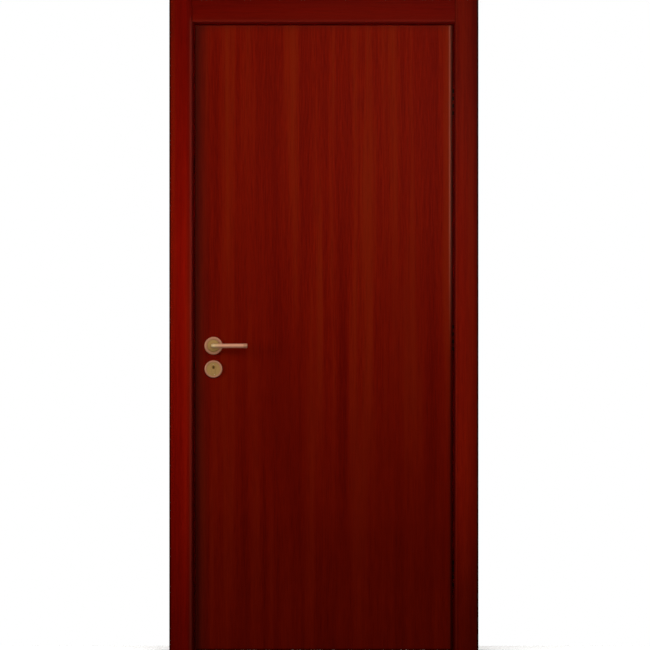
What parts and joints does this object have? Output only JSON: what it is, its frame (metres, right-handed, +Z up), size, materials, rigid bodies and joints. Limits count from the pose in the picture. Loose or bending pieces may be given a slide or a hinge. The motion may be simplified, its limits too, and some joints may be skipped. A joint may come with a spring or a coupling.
{
  "type": "flush door",
  "caption": "Flush veneered door leaf in its timber lining with architraves, on concealed hinges, with round-bar levers on roses and a keyed mortise lock.",
  "frame": {"origin": "on the wall face of the hinge jamb, at the floor, in the middle of the wall's depth", "axes": "+X towards the hinge side and out of the hinge jamb, +Y through the wall away from the side the leaf opens to, +Z up"},
  "size_m": [1.008, 0.1929, 2.13],
  "materials": {
    "lining_veneer": "satin",
    "leaf_veneer": "satin",
    "lipping_wood": "satin",
    "core_board": "matte",
    "seal_rubber": "matte",
    "hinge_metal": "satin",
    "lock_steel": "satin",
    "satin_brass": "satin"
  },
  "bodies": {
    "lining": {"hinge_jamb": "lining_veneer", "lock_jamb": "lining_veneer", "head_jamb": "lining_veneer", "hinge_stop": "lining_veneer", "lock_stop": "lining_veneer", "head_stop": "lining_veneer", "front_architrave_hinge_leg": "lining_veneer", "front_architrave_lock_leg": "lining_veneer", "front_architrave_head": "lining_veneer", "back_architrave_hinge_leg": "lining_veneer", "back_architrave_lock_leg": "lining_veneer", "back_architrave_head": "lining_veneer", "hinge_seal": "seal_rubber", "lock_seal": "seal_rubber", "head_seal": "seal_rubber", "strike_plate": "lock_steel", "lower_frame_hinge": "hinge_metal", "middle_frame_hinge": "hinge_metal", "upper_frame_hinge": "hinge_metal"},
    "leaf": {"leaf_core": "core_board", "front_skin": "leaf_veneer", "back_skin": "leaf_veneer", "hinge_edge_lipping": "lipping_wood", "lock_edge_lipping": "lipping_wood", "bottom_lipping": "lipping_wood", "top_lipping": "lipping_wood", "lock_case": "lock_steel", "faceplate": "lock_steel", "latch_bolt": "lock_steel", "dead_bolt": "lock_steel", "lower_leaf_hinge": "hinge_metal", "middle_leaf_hinge": "hinge_metal", "upper_leaf_hinge": "hinge_metal", "front_rose": "satin_brass", "back_rose": "satin_brass", "front_escutcheon": "satin_brass", "back_escutcheon": "satin_brass", "key_cylinder": "satin_brass"},
    "hinge_links": {"lower_hinge_link": "hinge_metal", "middle_hinge_link": "hinge_metal", "upper_hinge_link": "hinge_metal"},
    "lever_set": {"front_lever": "satin_brass", "back_lever": "satin_brass", "spindle": "lock_steel"}
  },
  "joints": [
    {"name": "door_swing", "type": "hinge", "parent": "lining", "child": "leaf", "pos_m": [-0.0325, -0.06, 1], "axis": [0, 0, 1], "range_deg": [0, 90]},
    {"name": "link_swing", "type": "hinge", "parent": "lining", "child": "hinge_links", "pos_m": [-0.0325, -0.06, 1], "axis": [0, 0, 1], "range_deg": [0, 45]},
    {"name": "lever_turn", "type": "hinge", "parent": "leaf", "child": "lever_set", "pos_m": [-0.815, -0.04, 1], "axis": [0, 1, 0], "range_deg": [0, 45], "stiffness_Nm_per_rad": 1, "springref_deg": -34.38}
  ],
  "couplings": [
    {"joint": "link_swing", "follows": "door_swing", "ratio": 0.5}
  ]
}
